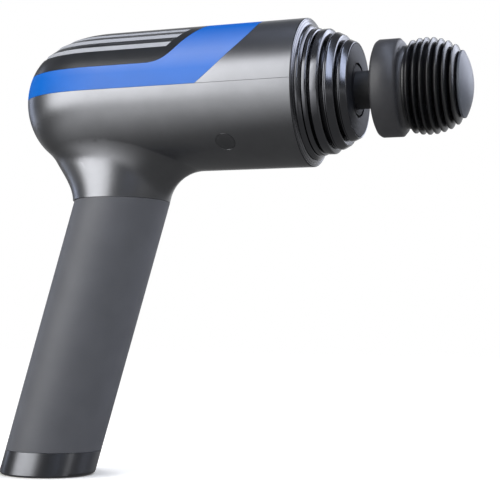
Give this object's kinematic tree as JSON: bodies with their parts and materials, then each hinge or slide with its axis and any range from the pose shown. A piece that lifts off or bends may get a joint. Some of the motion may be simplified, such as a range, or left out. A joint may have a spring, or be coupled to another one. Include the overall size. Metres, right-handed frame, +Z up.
{
  "type": "massage_gun",
  "caption": "Handheld percussive massage gun: barrel housing with ringed nose, louvred rear cover, forward-leaning grip and a ribbed pull-off rubber head on a slider-crank plunger.",
  "frame": {"origin": "centre of the base's flat underside, which the gun stands on", "axes": "+Z up, +X forwards along the barrel towards the massage head, +Y to the left; the XZ plane is the plane that the housing is symmetrical about"},
  "size_m": [0.2162, 0.0644, 0.2025],
  "materials": {
    "satin_gunmetal": "satin metallic lacquer over die-cast aluminium",
    "blue_gloss": "gloss blue ABS",
    "black_satin": "satin black ABS",
    "silver_paint": "silver lacquer on ABS",
    "shell_plug": "dark rubber plug",
    "screw_steel": "zinc-plated steel",
    "grey_silicone": "matte mid-grey silicone",
    "core_plastic": "black glass-filled nylon",
    "base_gloss": "dark gunmetal gloss lacquer",
    "base_plastic": "black ABS, fine texture",
    "button_rubber": "dark silicone",
    "switch_body": "black moulded switch",
    "socket_plastic": "black nylon",
    "lamp_lens": "clear acrylic light pipe",
    "board_green": "green solder mask",
    "dark_ring": "dark gunmetal gloss lacquer",
    "charcoal_plastic": "matte charcoal ABS",
    "seal_rubber": "black nitrile rubber",
    "plunger_anodised": "black hard-anodised aluminium",
    "pin_steel": "ground steel",
    "guide_aluminium": "die-cast aluminium",
    "bush_bronze": "sintered bronze",
    "rod_aluminium": "machined aluminium",
    "bearing_steel": "ground bearing steel",
    "crank_steel": "sintered steel",
    "bell_steel": "blackened steel",
    "magnet_nickel": "nickel-plated neodymium",
    "stator_steel": "laminated electrical steel",
    "copper_wire": "enamelled copper wire",
    "stem_plastic": "black acetal",
    "head_rubber": "satin black rubber",
    "cap_gloss": "polished grey-blue insert",
    "cell_wrap": "shrink-wrapped cells",
    "component_black": "moulded electronic parts"
  },
  "bodies": {
    "housing": {"base_plate": "base_plastic", "base_ring": "base_gloss", "base_screws": "screw_steel", "battery_cells": "cell_wrap", "blue_band": "blue_gloss", "board_components": "component_black", "bracket_screws": "screw_steel", "button_switch": "switch_body", "cell_caps": "core_plastic", "charge_board": "board_green", "charge_lamps": "lamp_lens", "charging_socket": "socket_plastic", "control_board": "board_green", "front_top_cover": "satin_gunmetal", "guide_bushes": "bush_bronze", "guide_sleeve": "guide_aluminium", "handle_core": "core_plastic", "handle_sleeve": "grey_silicone", "louvre_cover": "black_satin", "louvre_strips": "silver_paint", "lower_shell": "satin_gunmetal", "motor_bearings": "bearing_steel", "motor_bracket": "guide_aluminium", "nose_collar": "dark_ring", "nose_plate": "charcoal_plastic", "nose_ring_1": "dark_ring", "nose_ring_2": "dark_ring", "nose_ring_3": "dark_ring", "rim_ring": "dark_ring", "rubber_dampers": "seal_rubber", "screw_plugs": "shell_plug", "shell_screws": "screw_steel", "stator_core": "stator_steel", "stator_windings": "copper_wire", "wiper_seal": "seal_rubber"},
    "rotor": {"crank": "crank_steel", "motor_shaft": "pin_steel", "motor_bell": "bell_steel", "rotor_magnets": "magnet_nickel"},
    "plunger_body": {"plunger": "plunger_anodised", "wrist_pin": "pin_steel"},
    "rod": {"connecting_rod": "rod_aluminium", "rod_bearing": "bearing_steel", "crank_pin": "pin_steel"},
    "head": {"head_stem": "stem_plastic", "stem_o_rings": "seal_rubber", "head_collar": "head_rubber", "ribbed_head": "head_rubber", "head_cap": "cap_gloss"},
    "button": {"power_button": "button_rubber"}
  },
  "joints": [
    {"name": "rotor_spin", "type": "hinge", "parent": "housing", "child": "rotor", "pos_m": [0.0783, 0, 0.17025], "axis": [0, 1, 0], "continuous": true},
    {"name": "plunger_slide", "type": "slide", "parent": "housing", "child": "plunger_body", "axis": [1, 0, 0], "range_m": [0, 0.012]},
    {"name": "rod_swing", "type": "hinge", "parent": "plunger_body", "child": "rod", "pos_m": [0.1043, 0, 0.17025], "axis": [0, 1, 0], "range_deg": [-10.81, 10.81]},
    {"name": "head_pull", "type": "slide", "parent": "plunger_body", "child": "head", "axis": [1, 0, 0], "range_m": [0, 0.03]},
    {"name": "button_press", "type": "slide", "parent": "housing", "child": "button", "axis": [0, 0, 1], "range_m": [0, 0.0008], "stiffness_N_per_m": 500}
  ]
}
